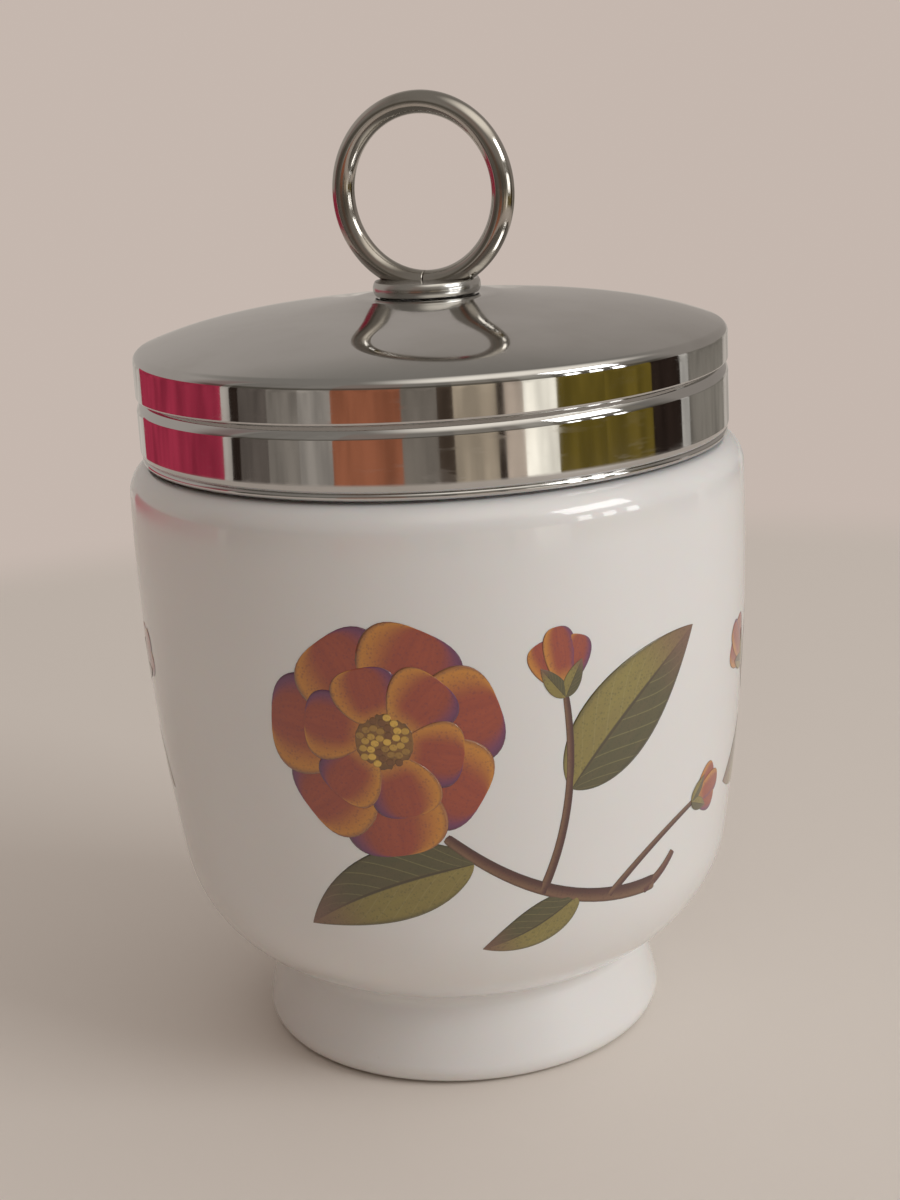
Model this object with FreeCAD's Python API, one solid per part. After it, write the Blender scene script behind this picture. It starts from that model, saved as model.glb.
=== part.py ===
"""Porcelain egg coddler with a screw-on metal lid and a finger ring.

The origin is the centre of the foot's contact ring, +Z is up and +X lies in the plane of the
finger ring. Every length is in millimetres and every angle in degrees.
"""
import FreeCAD
import Part
import math
import os

Vector = FreeCAD.Vector

# Porcelain cup: outside
foot_contact_radius = 18.55
foot_edge_radius = 1.9
foot_flare = 12.0
foot_waist_radius = 19.15
foot_cove_radius = 1.6
bowl_radius = 14.2
bowl_top_z = 20.1
body_radius = 30.25
widest_below_shoulder = 8.0
wall_curve_radius = 214.0
shoulder_z = 60.0
shoulder_radius = 2.8
neck_radius = 27.1
neck_height = 10.6
rim_edge_radius = 1.2

# Porcelain cup: inside and underneath
body_wall = 3.0
neck_wall = 3.0
floor_thickness = 3.4
contact_width = 1.35
foot_inner_taper = 0.6
recess_corner_radius = 1.5
inner_shoulder_drop = 5.4
inner_neck_height = 0.1

# Screw thread that joins the cup and the lid
thread_lead = 2.1
thread_middle_angle = -64.0
thread_fade = 24.0
spine_step = 6.0
ridge_half_turn = 225.0
ridge_turn_offset = 35.0
ridge_crest_half_width = 0.2
ridge_root_half_width = 0.6
ridge_wall_gap = 0.35
ridge_root_depth = 0.75
ridge_sink = 0.05
ridge_above_groove = 0.97

# Pressed lid
sheet = 0.45
skirt_gap = 1.25
hem_gap = 0.2
hem_bead_height = 0.6
hem_bead_inset = 0.3
hem_bead_bulge = 0.15
hem_corner_radius = 0.7
wall_top_below_rim = 0.8
lid_corner_radius = 1.0
dome_rise = 3.05
dome_power = 2.85
dome_samples = 12
boss_radius = 8.2
boss_flat_radius = 6.2
boss_height = 0.34
groove_above_hem = 6.55
groove_half_turn = 186.0
bead_neck_gap = 0.55
groove_lip_radius = 0.42
groove_shoulder_height = 1.4
groove_overrun = 0.03
groove_lift_out = 0.07
bead_upper_half_width = 0.72
bead_lower_half_width = 1.35

# Turned stud that carries the ring, and the washer it is riveted over
shank_radius = 2.0
shank_gap = 0.05
stud_foot_radius = 4.6
stud_foot_height = 0.28
collar_radius = 5.25
collar_height = 1.34
collar_edge_bulge = 0.22
saddle_depth = 1.35
saddle_gap = 0.02
washer_radius = 4.8
washer_thickness = 0.8
washer_gap = 0.05
rivet_head_radius = 3.3
rivet_head_height = 1.1

# Finger ring of round wire
wire_radius = 1.1
ring_inner_radius = 7.35
ring_split = 0.12

# Heights and radii that follow from the sizes above
rim_z = shoulder_z + neck_height
hem_z = shoulder_z + hem_gap
wall_top_z = rim_z - wall_top_below_rim
band_inner_radius = neck_radius + skirt_gap
band_radius = band_inner_radius + sheet
groove_depth = skirt_gap - bead_neck_gap
groove_z = hem_z + groove_above_hem
dome_edge_radius = band_radius - lid_corner_radius
dome_top_z = wall_top_z + lid_corner_radius + dome_rise
boss_top_z = dome_top_z + boss_height
collar_bottom_z = boss_top_z + stud_foot_height
collar_top_z = collar_bottom_z + collar_height
ring_mean_radius = ring_inner_radius + wire_radius
ring_centre_z = collar_top_z - saddle_depth + wire_radius + ring_mean_radius


def at(radius, height):
    """A point of a turned outline, in the plane through the axis."""
    return Vector(radius, 0, height)


def polar(centre, radius, angle):
    """The point at an angle on a circle in the plane of the outlines."""
    turn = math.radians(angle)
    return centre + at(radius * math.cos(turn), radius * math.sin(turn))


def line(start, end):
    return Part.LineSegment(start, end).toShape()


def arc(centre, radius, first, last):
    """An arc between two angles about its centre."""
    middle = (first + last) / 2
    ends = [polar(centre, radius, angle) for angle in (first, middle, last)]
    return Part.Arc(*ends).toShape()


def bend(start, direction, end):
    """The arc that leaves its start along a direction and reaches its end."""
    chord = end - start
    side = direction.cross(chord).y
    half_turn = direction.getAngle(chord)
    quarter = math.copysign(half_turn / 2, side)
    turned = FreeCAD.Rotation(Vector(0, 1, 0), math.degrees(quarter)).multVec(direction)
    turned.normalize()
    middle = start + turned * (chord.Length / (2 * math.cos(quarter)))
    return Part.Arc(start, middle, end).toShape()


def s_bend(start, end, direction):
    """Two equal arcs that join parallel runs."""
    middle = (start + end) * 0.5
    return [bend(start, direction, middle), bend(end, direction * -1, middle)]


def turned_solid(edges):
    """The solid that a closed outline sweeps about the axis."""
    face = Part.Face(Part.Wire(Part.__sortEdges__(edges)))
    return face.revolve(Vector(0, 0, 0), Vector(0, 0, 1), 360)


def thread_sweep(section, radius, middle_z, first, last, fade_out):
    """Carry a section along the thread's helix.

    The section is a list of edges about its own origin: x is outwards and z is up. Over the
    last few degrees at both ends the helix moves outwards by fade_out, or inwards where it is
    negative, so that the form fades away.
    """
    count = int(round((last - first) / spine_step))
    points = []
    for index in range(count + 1):
        angle = first + (last - first) * index / count
        from_end = min(angle - first, last - angle)
        fade = max(0.0, 1.0 - from_end / thread_fade)
        reach = radius + fade_out * fade * fade
        height = middle_z + thread_lead * (angle - thread_middle_angle) / 360
        turn = math.radians(angle)
        points.append(Vector(reach * math.cos(turn), reach * math.sin(turn), height))
    spine = Part.BSplineCurve()
    spine.interpolate(points)
    path = Part.Wire(spine.toShape())
    wire = Part.Wire(Part.__sortEdges__(section))
    wire.rotate(Vector(0, 0, 0), Vector(0, 0, 1), first)
    wire.translate(points[0])
    pipe = Part.BRepOffsetAPI.MakePipeShell(path)
    pipe.setBiNormalMode(Vector(0, 0, 1))
    pipe.add(wire)
    pipe.build()
    pipe.makeSolid()
    return pipe.shape()


def closed(corners):
    """The edges of a closed polygon."""
    return [line(start, end) for start, end in zip(corners, corners[1:] + corners[:1])]


def cup_outside():
    """The outline from the contact ring up to the rim, and the bowl's centre and wall angle."""
    wall_centre = at(body_radius - wall_curve_radius, shoulder_z - widest_below_shoulder)
    bowl_angle = math.degrees(math.asin((bowl_top_z - wall_centre.z) / wall_curve_radius))
    bowl_centre = polar(wall_centre, wall_curve_radius - bowl_radius, bowl_angle)

    shoulder_rise = shoulder_z - shoulder_radius - wall_centre.z
    shoulder_angle = math.degrees(math.asin(shoulder_rise / (wall_curve_radius - shoulder_radius)))
    shoulder_centre = polar(wall_centre, wall_curve_radius - shoulder_radius, shoulder_angle)

    cove_reach = foot_waist_radius + foot_cove_radius
    centre_gap = bowl_radius + foot_cove_radius
    cove_drop = math.sqrt(centre_gap ** 2 - (cove_reach - bowl_centre.x) ** 2)
    cove_centre = at(cove_reach, bowl_centre.z - cove_drop)
    cove_angle = math.degrees(math.atan2(-cove_drop, cove_reach - bowl_centre.x))

    foot_centre = at(foot_contact_radius, foot_edge_radius)
    flare_start = polar(foot_centre, foot_edge_radius, foot_flare)
    waist_end = polar(cove_centre, foot_cove_radius, 180 + foot_flare)

    neck_foot = at(neck_radius, shoulder_z)
    shoulder_top = polar(shoulder_centre, shoulder_radius, 90)
    rim_start = at(neck_radius, rim_z - rim_edge_radius)
    edges = [
        arc(foot_centre, foot_edge_radius, -90, foot_flare),
        line(flare_start, waist_end),
        arc(cove_centre, foot_cove_radius, 180 + foot_flare, 180 + cove_angle),
        arc(bowl_centre, bowl_radius, cove_angle, bowl_angle),
        arc(wall_centre, wall_curve_radius, bowl_angle, shoulder_angle),
        arc(shoulder_centre, shoulder_radius, shoulder_angle, 90),
        line(shoulder_top, neck_foot),
        line(neck_foot, rim_start),
    ]
    return edges, bowl_centre, bowl_angle, wall_centre


def cup_inside(bowl_centre, bowl_angle, wall_centre):
    """The outline from the rim down the inside to the middle of the floor."""
    mouth_radius = neck_radius - neck_wall
    outer_rim_centre = at(neck_radius - rim_edge_radius, rim_z - rim_edge_radius)
    inner_rim_centre = at(mouth_radius + rim_edge_radius, rim_z - rim_edge_radius)
    inner_bowl_radius = bowl_radius - body_wall
    inner_wall_radius = wall_curve_radius - body_wall
    neck_bottom = at(mouth_radius, shoulder_z + inner_neck_height)
    drop_z = neck_bottom.z - inner_shoulder_drop
    drop_angle = math.degrees(math.asin((drop_z - wall_centre.z) / inner_wall_radius))
    wall_end = polar(wall_centre, inner_wall_radius, drop_angle)
    floor_edge = polar(bowl_centre, inner_bowl_radius, -90)
    edges = [
        arc(outer_rim_centre, rim_edge_radius, 0, 90),
        line(polar(outer_rim_centre, rim_edge_radius, 90), polar(inner_rim_centre, rim_edge_radius, 90)),
        arc(inner_rim_centre, rim_edge_radius, 90, 180),
        line(polar(inner_rim_centre, rim_edge_radius, 180), neck_bottom),
        *s_bend(neck_bottom, wall_end, at(0, -1)),
        arc(wall_centre, inner_wall_radius, bowl_angle, drop_angle),
        arc(bowl_centre, inner_bowl_radius, -90, bowl_angle),
        line(floor_edge, at(0, floor_edge.z)),
    ]
    return edges, floor_edge.z


def cup_underside(floor_z):
    """The outline from the axis along the recess to the contact ring."""
    recess_z = floor_z - floor_thickness
    inner_contact = at(foot_contact_radius - contact_width, 0)
    corner_x = inner_contact.x - foot_inner_taper - recess_corner_radius
    corner_centre = at(corner_x, recess_z - recess_corner_radius)
    corner_side = polar(corner_centre, recess_corner_radius, 0)
    return [
        line(at(0, floor_z), at(0, recess_z)),
        line(at(0, recess_z), polar(corner_centre, recess_corner_radius, 90)),
        arc(corner_centre, recess_corner_radius, 0, 90),
        line(corner_side, inner_contact),
        line(inner_contact, at(foot_contact_radius, 0)),
    ]


def make_cup():
    """The porcelain cup: a thick cast body on a foot ring, with one thread ridge on its neck."""
    outside, bowl_centre, bowl_angle, wall_centre = cup_outside()
    inside, floor_z = cup_inside(bowl_centre, bowl_angle, wall_centre)
    body = turned_solid(outside + inside + cup_underside(floor_z))

    ridge_height = skirt_gap - ridge_wall_gap
    spread = (ridge_root_half_width - ridge_crest_half_width) / ridge_height
    root_half_width = ridge_root_half_width + spread * ridge_root_depth
    section = closed([
        at(-ridge_root_depth, -root_half_width),
        at(ridge_height, -ridge_crest_half_width),
        at(ridge_height, ridge_crest_half_width),
        at(-ridge_root_depth, root_half_width),
    ])
    middle = thread_middle_angle + ridge_turn_offset
    first = middle - ridge_half_turn
    last = middle + ridge_half_turn
    fade_in = -(ridge_height + ridge_sink)
    ridge = thread_sweep(section, neck_radius, groove_z + ridge_above_groove, first, last, fade_in)
    return body.fuse(ridge)


def dome_height(radius, edge_radius, edge_z, top_z):
    """The height of the lid's skin, flat in the middle and steeper towards its edge."""
    return edge_z + (top_z - edge_z) * (1 - (radius / edge_radius) ** dome_power)


def lid_skin(inset):
    """One face of the lid's sheet, from the centre hole out to the hem, at a depth into the sheet."""
    edge_slope = math.degrees(math.atan(dome_power * dome_rise / dome_edge_radius))
    corner_centre = at(band_radius - lid_corner_radius, wall_top_z)
    corner = lid_corner_radius - inset
    edge = polar(corner_centre, corner, 90 - edge_slope)
    top_z = dome_top_z - inset
    boss_z = boss_top_z - inset
    hole_radius = shank_radius + shank_gap

    dome_points = []
    for index in range(dome_samples + 1):
        radius = boss_radius + (edge.x - boss_radius) * index / dome_samples
        dome_points.append(at(radius, dome_height(radius, edge.x, edge.z, top_z)))
    dome = Part.BSplineCurve()
    dome.interpolate(dome_points)

    wall_top = polar(corner_centre, corner, 0)
    bead_radius = band_radius - hem_bead_inset
    hem_corner_z = hem_z + hem_bead_height
    hem_start = at(band_radius - inset, hem_corner_z + hem_corner_radius)
    hem_neck = at(bead_radius - inset, hem_corner_z)
    hem_end = at(bead_radius - inset, hem_z)
    edges = [
        line(at(hole_radius, boss_z), at(boss_flat_radius, boss_z)),
        *s_bend(at(boss_flat_radius, boss_z), dome_points[0], at(1, 0)),
        dome.toShape(),
        arc(corner_centre, corner, 0, 90 - edge_slope),
        line(wall_top, hem_start),
        bend(hem_start, at(0, -1), hem_neck),
    ]
    if inset:
        edges.append(line(hem_neck, hem_end))
    else:
        bulge = at(bead_radius + hem_bead_bulge, hem_z + hem_bead_height / 2)
        edges.append(Part.Arc(hem_neck, bulge, hem_end).toShape())
    return edges, at(hole_radius, boss_z), hem_end


def make_lid_shell():
    """The pressed lid: dome, skirt, rolled thread groove and hem, all one thickness of sheet."""
    outer, outer_hole, outer_hem = lid_skin(0.0)
    inner, inner_hole, inner_hem = lid_skin(sheet)
    pressing = turned_solid(outer + inner + [line(outer_hole, inner_hole), line(outer_hem, inner_hem)])

    first = thread_middle_angle - groove_half_turn
    last = thread_middle_angle + groove_half_turn
    fade_out = groove_depth + groove_lift_out

    shoulder_end = at(groove_overrun, -groove_shoulder_height)
    groove_bottom = at(-groove_depth, 0)
    lip_centre = at(groove_overrun - groove_lip_radius, groove_lip_radius)
    lip_start = polar(lip_centre, groove_lip_radius, 0)
    lip_end = polar(lip_centre, groove_lip_radius, -90)
    clear = at(groove_depth + fade_out, 0)
    groove_section = [
        bend(shoulder_end, at(0, 1), groove_bottom),
        line(groove_bottom, lip_end),
        arc(lip_centre, groove_lip_radius, -90, 0),
        line(lip_start, lip_start + clear),
        line(lip_start + clear, shoulder_end + clear),
        line(shoulder_end + clear, shoulder_end),
    ]
    groove = thread_sweep(groove_section, band_radius, groove_z, first, last, fade_out)

    crest_half_width = groove_lip_radius / 2
    mid_sheet = sheet / 2
    bead_section = closed([
        at(-mid_sheet, bead_upper_half_width + mid_sheet),
        at(-sheet - groove_depth, crest_half_width),
        at(-sheet - groove_depth, -crest_half_width),
        at(-mid_sheet, -bead_lower_half_width - mid_sheet),
    ])
    bead = thread_sweep(bead_section, band_radius, groove_z, first, last, fade_out)
    core = Part.makeCylinder(band_radius - mid_sheet, wall_top_z - hem_z, at(0, hem_z))
    return pressing.fuse(bead.common(core)).cut(groove)


def ring_torus(tube_radius):
    """A ring in the plane of X and Z, standing in the stud's saddle."""
    return Part.makeTorus(ring_mean_radius, tube_radius, at(0, ring_centre_z), Vector(0, 1, 0))


def make_lifting_ring():
    """The finger ring: round wire bent full circle, its two ends meeting over the stud."""
    reach = 2 * wire_radius
    corner = Vector(-ring_split / 2, -reach, ring_centre_z - ring_mean_radius - reach)
    gap = Part.makeBox(ring_split, 2 * reach, 2 * reach, corner)
    return ring_torus(wire_radius).cut(gap)


def make_ring_stud():
    """The turned stud: collar with a saddle for the ring, shank, and the head riveted inside."""
    washer_bottom_z = boss_top_z - sheet - washer_gap - washer_thickness
    head_top_z = washer_bottom_z - washer_gap
    collar_middle = at(collar_radius, (collar_bottom_z + collar_top_z) / 2)
    collar_low = at(collar_radius - collar_edge_bulge, collar_bottom_z)
    collar_high = at(collar_radius - collar_edge_bulge, collar_top_z)
    head_rim = at(rivet_head_radius, head_top_z)
    head_tip = at(0, head_top_z - rivet_head_height)
    stud = turned_solid([
        line(at(0, collar_top_z), collar_high),
        Part.Arc(collar_high, collar_middle, collar_low).toShape(),
        line(collar_low, at(stud_foot_radius, collar_bottom_z)),
        line(at(stud_foot_radius, collar_bottom_z), at(stud_foot_radius, boss_top_z)),
        line(at(stud_foot_radius, boss_top_z), at(shank_radius, boss_top_z)),
        line(at(shank_radius, boss_top_z), at(shank_radius, head_top_z)),
        line(at(shank_radius, head_top_z), head_rim),
        bend(head_tip, at(1, 0), head_rim),
        line(head_tip, at(0, collar_top_z)),
    ])
    return stud.cut(ring_torus(wire_radius + saddle_gap))


def make_rivet_washer():
    """The plain round washer between the lid's sheet and the riveted head."""
    top_z = boss_top_z - sheet - washer_gap
    base = at(0, top_z - washer_thickness)
    disc = Part.makeCylinder(washer_radius, washer_thickness, base)
    hole = Part.makeCylinder(shank_radius + washer_gap, washer_thickness, base)
    return disc.cut(hole)


def main():
    os.makedirs("parts", exist_ok=True)
    pieces = {
        "cup": make_cup(),
        "lid_shell": make_lid_shell(),
        "ring_stud": make_ring_stud(),
        "lifting_ring": make_lifting_ring(),
        "rivet_washer": make_rivet_washer(),
    }
    for name, shape in pieces.items():
        shape.exportStep(os.path.join("parts", name + ".step"))
        box = shape.BoundBox
        print(name, "solids", len(shape.Solids), "valid", shape.isValid(),
              "volume", round(shape.Volume, 1), "z", round(box.ZMin, 2), round(box.ZMax, 2),
              "width", round(box.XLength, 2), round(box.YLength, 2))


main()
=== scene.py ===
# %% [markdown]
# An egg coddler is a small porcelain cup that an egg is cooked in. A pressed chrome lid screws on
# to its neck, and a finger ring on the lid lifts it out of the hot water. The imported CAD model
# gives every size and place, and this notebook dresses it: each solid gets a finer mesh of the
# same form, worked out with numpy, and a finish made of shader nodes. Modelling by hand or
# subdividing the CAD mesh would work too, but a formula for each surface keeps reflections clean,
# and on polished chrome every flat facet would show.

# %% Load the frame
import bpy
import math
import numpy as np
from mathutils import Matrix, Vector


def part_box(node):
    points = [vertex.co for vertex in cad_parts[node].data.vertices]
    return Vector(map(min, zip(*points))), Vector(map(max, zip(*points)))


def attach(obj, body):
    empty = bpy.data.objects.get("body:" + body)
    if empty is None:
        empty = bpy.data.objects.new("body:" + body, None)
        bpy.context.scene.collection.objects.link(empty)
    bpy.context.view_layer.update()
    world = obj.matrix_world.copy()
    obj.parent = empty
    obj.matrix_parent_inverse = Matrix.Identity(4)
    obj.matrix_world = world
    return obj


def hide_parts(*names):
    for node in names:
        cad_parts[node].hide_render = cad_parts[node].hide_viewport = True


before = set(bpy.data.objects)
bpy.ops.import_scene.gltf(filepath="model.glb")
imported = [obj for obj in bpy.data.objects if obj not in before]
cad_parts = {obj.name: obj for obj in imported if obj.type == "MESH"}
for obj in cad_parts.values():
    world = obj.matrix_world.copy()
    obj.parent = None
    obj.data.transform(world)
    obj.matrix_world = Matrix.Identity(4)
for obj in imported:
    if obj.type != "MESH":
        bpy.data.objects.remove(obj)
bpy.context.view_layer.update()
scene = bpy.context.scene
mm = 0.001

# %% [markdown]
# The camera stands where the photographer stood, a hand's breadth above the lid and close by, so
# that the lid looks wider than the foot. Its place could be tuned by eye, but it was worked out
# from the ellipses that the hem, the groove and the foot make in the picture. The picture leans
# by about three degrees, and the camera leans with it.

# %% Camera
camera_turn = math.radians(25.6)
camera_place = Vector((0, -191.47, 96.02)) * mm
camera_right = Vector((0.99853479, -0.01728729, -0.05127791))
camera_up = Vector((0.05402425, 0.26405722, 0.96299282))
camera_ahead = Vector((0.00310724, 0.96435208, -0.26460425))
camera_data = bpy.data.cameras.new("camera")
camera_data.sensor_width = 36
camera_data.lens = 58.89
camera_data.clip_start = 10 * mm
camera = bpy.data.objects.new("camera", camera_data)
camera_axes = Matrix((camera_right, camera_up, -camera_ahead)).transposed().to_4x4()
camera.matrix_world = (Matrix.Rotation(camera_turn, 4, "Z") @ Matrix.Translation(camera_place)
                       @ camera_axes)
scene.collection.objects.link(camera)
scene.camera = camera
print("camera height in mm", round(camera_place.z / mm, 1), "focal length", camera_data.lens)

# %% [markdown]
# Materials are built from nodes. Writing every node by hand is long, so one helper adds a node,
# sets it up and wires its inputs: an input that is given a socket is linked, and one that is
# given a number or a colour keeps it as its value.

# %% Node helpers
def wire(tree, node, inputs):
    """Link or set a node's inputs, given by name or by number."""
    for key, value in inputs.items():
        if isinstance(value, bpy.types.NodeSocket):
            tree.links.new(value, node.inputs[key])
        else:
            node.inputs[key].default_value = value


def add(tree, kind, inputs=None, **settings):
    """Add a node with its settings, and link or set its inputs."""
    node = tree.nodes.new(kind)
    for name, value in settings.items():
        setattr(node, name, value)
    wire(tree, node, inputs or {})
    return node


def maths(tree, operation, *values):
    """One Math node and its result."""
    return add(tree, "ShaderNodeMath", dict(enumerate(values)), operation=operation).outputs[0]


def times(tree, first, second):
    """The product of two values."""
    return maths(tree, "MULTIPLY", first, second)


def away_from(tree, value, middle):
    """How far a value lies from a middle, to either side."""
    return maths(tree, "ABSOLUTE", maths(tree, "SUBTRACT", value, middle))


def vector_maths(tree, operation, first, second=(0, 0, 0)):
    """One Vector Math node and its result: a number for a length or a dot product."""
    node = add(tree, "ShaderNodeVectorMath", {0: first, 1: second}, operation=operation)
    return node.outputs["Value" if operation in ("LENGTH", "DOT_PRODUCT") else "Vector"]


def join(tree, x, y, z=0.0):
    """A vector from its three parts."""
    return add(tree, "ShaderNodeCombineXYZ", {0: x, 1: y, 2: z}).outputs[0]


def split(tree, vector):
    """The X, Y and Z of a vector."""
    return add(tree, "ShaderNodeSeparateXYZ", {0: vector}).outputs


def object_place(tree):
    """A point's place in the object's own coordinates."""
    return add(tree, "ShaderNodeTexCoord").outputs["Object"]


def ramp(tree, value, start, end, low=0.0, high=1.0):
    """Map a value that runs from start to end on to low to high, with a smooth start and end."""
    return add(tree, "ShaderNodeMapRange", {0: value, 1: start, 2: end, 3: low, 4: high},
               interpolation_type="SMOOTHSTEP").outputs[0]


def blend_colour(tree, factor, first, second):
    """Mix two colours by a factor."""
    return add(tree, "ShaderNodeMix", {0: factor, 6: first, 7: second}, data_type="RGBA",
               clamp_factor=True).outputs[2]


def layered(tree, colour, *layers):
    """A colour with other colours laid over it in turn, each by its own factor."""
    for factor, over in layers:
        colour = blend_colour(tree, factor, colour, over)
    return colour


def noise(tree, place, scale, detail=2.0, roughness=0.5):
    """The grey value of a noise texture."""
    return add(tree, "ShaderNodeTexNoise", {"Vector": place, "Scale": scale, "Detail": detail,
                                            "Roughness": roughness}).outputs["Fac"]


def bump(tree, height, distance):
    """A Bump node: a height of 1 stands proud by the distance, in metres."""
    return add(tree, "ShaderNodeBump", {"Height": height, "Distance": distance}).outputs["Normal"]


def new_group(name, inputs, outputs):
    """A node group, the sockets of its named inputs, and the node that takes its named outputs."""
    group = bpy.data.node_groups.new(name, "ShaderNodeTree")
    for title, value in inputs.items():
        kind = "NodeSocketColor" if isinstance(value, tuple) else "NodeSocketFloat"
        group.interface.new_socket(title, in_out="INPUT", socket_type=kind).default_value = value
    for title, kind in outputs.items():
        group.interface.new_socket(title, in_out="OUTPUT", socket_type="NodeSocket" + kind)
    return group, add(group, "NodeGroupInput").outputs, add(group, "NodeGroupOutput")


def new_material(name):
    """An empty material with its Principled BSDF wired to the output."""
    material = bpy.data.materials.new(name)
    material.use_nodes = True
    tree = material.node_tree
    return material, tree, tree.nodes["Principled BSDF"]


# %% [markdown]
# Chrome has no colour of its own: it shows only what is round it, and in an even white studio it
# would look like plaster. A real room could be modelled, but a ring of upright bands is enough,
# light and dark, with a little warm colour. They are chosen by the direction in which they lie,
# counted as a share of a full turn, so the world and the floor can use the same node group.

# %% Room colours
room_brightness = 1.5
folds_around = 60.0
fold_depth = 0.25
pale_plaster = (0.33, 0.30, 0.27)
mid_grey = (0.25, 0.225, 0.20)
dark_wood = (0.02, 0.013, 0.01)
cream = (0.92, 0.87, 0.76)
olive_cloth = (0.115, 0.082, 0.014)
room_bands = [
    (0.000, olive_cloth),
    (0.061, dark_wood),
    (0.109, (0.40, 0.38, 0.35)),
    (0.124, (0.16, 0.145, 0.125)),
    (0.223, pale_plaster),
    (0.415, (0.27, 0.025, 0.05)),
    (0.589, pale_plaster),
    (0.599, dark_wood),
    (0.612, (0.09, 0.075, 0.065)),
    (0.645, (0.17, 0.15, 0.13)),
    (0.680, mid_grey),
    (0.717, (0.24, 0.085, 0.045)),
    (0.787, (0.15, 0.13, 0.11)),
    (0.823, (0.05, 0.035, 0.025)),
    (0.838, (0.34, 0.28, 0.21)),
    (0.881, dark_wood),
    (0.887, (0.40, 0.33, 0.27)),
    (0.910, cream),
    (0.942, olive_cloth),
]

room_group, given, result = new_group("room_colours", {"Around": 0.0, "Along": 0.0},
                                      {"Colour": "Color"})
room = add(room_group, "ShaderNodeValToRGB", {0: given["Around"]})
room.color_ramp.interpolation = "CONSTANT"
elements = room.color_ramp.elements
for index, (share, colour) in enumerate(room_bands):
    element = elements[index] if index < 2 else elements.new(share)
    element.position = share
    element.color = (*colour, 1)
folds_place = join(room_group, times(room_group, given["Around"], folds_around), given["Along"])
strength = ramp(room_group, noise(room_group, folds_place, 1.0, 3.0), 0.3, 0.7,
                (1 - fold_depth) * room_brightness, (1 + fold_depth) * room_brightness)
scaled = add(room_group, "ShaderNodeVectorMath", {0: room.outputs["Color"], "Scale": strength},
             operation="SCALE")
wire(room_group, result, {"Colour": scaled.outputs[0]})


def room_towards(tree, axes, along):
    """The room's colour towards a vector's X and Y: its angle over a full turn, uneven along it."""
    turns = maths(tree, "DIVIDE", maths(tree, "ARCTAN2", axes["Y"], axes["X"]), 2 * math.pi)
    share = maths(tree, "FRACT", maths(tree, "ADD", turns, 1.0))
    return add(tree, "ShaderNodeGroup", {"Around": share, "Along": along},
               node_tree=room_group).outputs[0]


print("room bands", len(room_bands))

# %% [markdown]
# The floor is a plain pale table top. In the picture it ends at a plaster wall close behind the
# object. A real wall would hide the object from the other side, so some way out from the object
# the floor turns softly into the wall's colour, and the background carries the same colour on.
# Only the camera sees it so: a Light Path node tells which kind of ray arrives. Glossy rays from
# the lid's upright skirt meet the floor beyond the table's edge, and there they find the room's
# bands. On the camera's side these turn dull further out.

# %% Floor
table_colour = (0.86, 0.795, 0.73, 1)
wall_colour = (0.56, 0.475, 0.425, 1)
far_colour = (0.12, 0.108, 0.09, 1)
table_reach = 215 * mm
table_edge = 290 * mm
table_fade = 22 * mm
far_start = 0.65
far_end = 0.9
far_share = 0.85
front_depth = 0.4
folds_per_metre = 4.0
half_floor = 2.0


def aim(turn, rise):
    """The direction at a turn and a rise in degrees, from the camera's side of the object."""
    azimuth = camera_turn + math.radians(turn)
    elevation = math.radians(rise)
    level = math.cos(elevation)
    return Vector((math.sin(azimuth) * level, -math.cos(azimuth) * level, math.sin(elevation)))


floor_mesh = bpy.data.meshes.new("floor")
corners = [(-half_floor, -half_floor, 0), (half_floor, -half_floor, 0),
           (half_floor, half_floor, 0), (-half_floor, half_floor, 0)]
floor_mesh.from_pydata(corners, [], [(0, 1, 2, 3)])
floor = bpy.data.objects.new("floor", floor_mesh)
scene.collection.objects.link(floor)
floor_material, tree, shader = new_material("pale_table")
wire(tree, shader, {"Base Color": table_colour, "Roughness": 0.6})
place = object_place(tree)
reach = vector_maths(tree, "LENGTH", place)
rays = add(tree, "ShaderNodeLightPath").outputs
looked_at = times(tree, rays["Is Camera Ray"],
                  ramp(tree, reach, table_reach - table_fade, table_reach + table_fade))
mirrored = times(tree, rays["Is Glossy Ray"],
                 ramp(tree, reach, table_edge - table_fade, table_edge + table_fade))
ahead = vector_maths(tree, "DOT_PRODUCT", place, aim(0, 0))
far = times(tree, ramp(tree, reach, far_start, far_end),
            ramp(tree, ahead, 0.0, front_depth, 0.0, far_share))
bands = room_towards(tree, split(tree, place), times(tree, reach, folds_per_metre))
beyond = layered(tree, bands, (far, far_colour), (rays["Is Camera Ray"], wall_colour))
seen = add(tree, "ShaderNodeMixShader", {
    0: maths(tree, "ADD", looked_at, mirrored), 1: shader.outputs[0],
    2: add(tree, "ShaderNodeEmission", {0: beyond}).outputs[0]}).outputs[0]
tree.links.new(seen, tree.nodes["Material Output"].inputs["Surface"])
floor_mesh.materials.append(floor_material)
print("floor", 2 * half_floor, "m wide, table edge at", table_edge)

# %% [markdown]
# The light is plain and soft. One wide lamp on the right stands for the window of the picture,
# and three narrow upright ones below it stand for its lower panes, which show as streaks in the
# glaze. The world fills the rest: bright overhead and on the right, weaker and warmer on the
# left, where the porcelain turns grey-brown. Glossy rays meet the room's bands low in the world
# instead, and a calm ceiling above them.

# %% World
world = bpy.data.worlds.new("studio")
scene.world = world
world.use_nodes = True
tree = world.node_tree
background = tree.nodes["Background"]
direction = add(tree, "ShaderNodeTexCoord").outputs["Generated"]
axes = split(tree, direction)
folds_by_height = 8.0


def towards(turn, rise):
    """How far the world's direction points to a turn and a rise: their dot product."""
    return vector_maths(tree, "DOT_PRODUCT", direction, aim(turn, rise))


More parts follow.
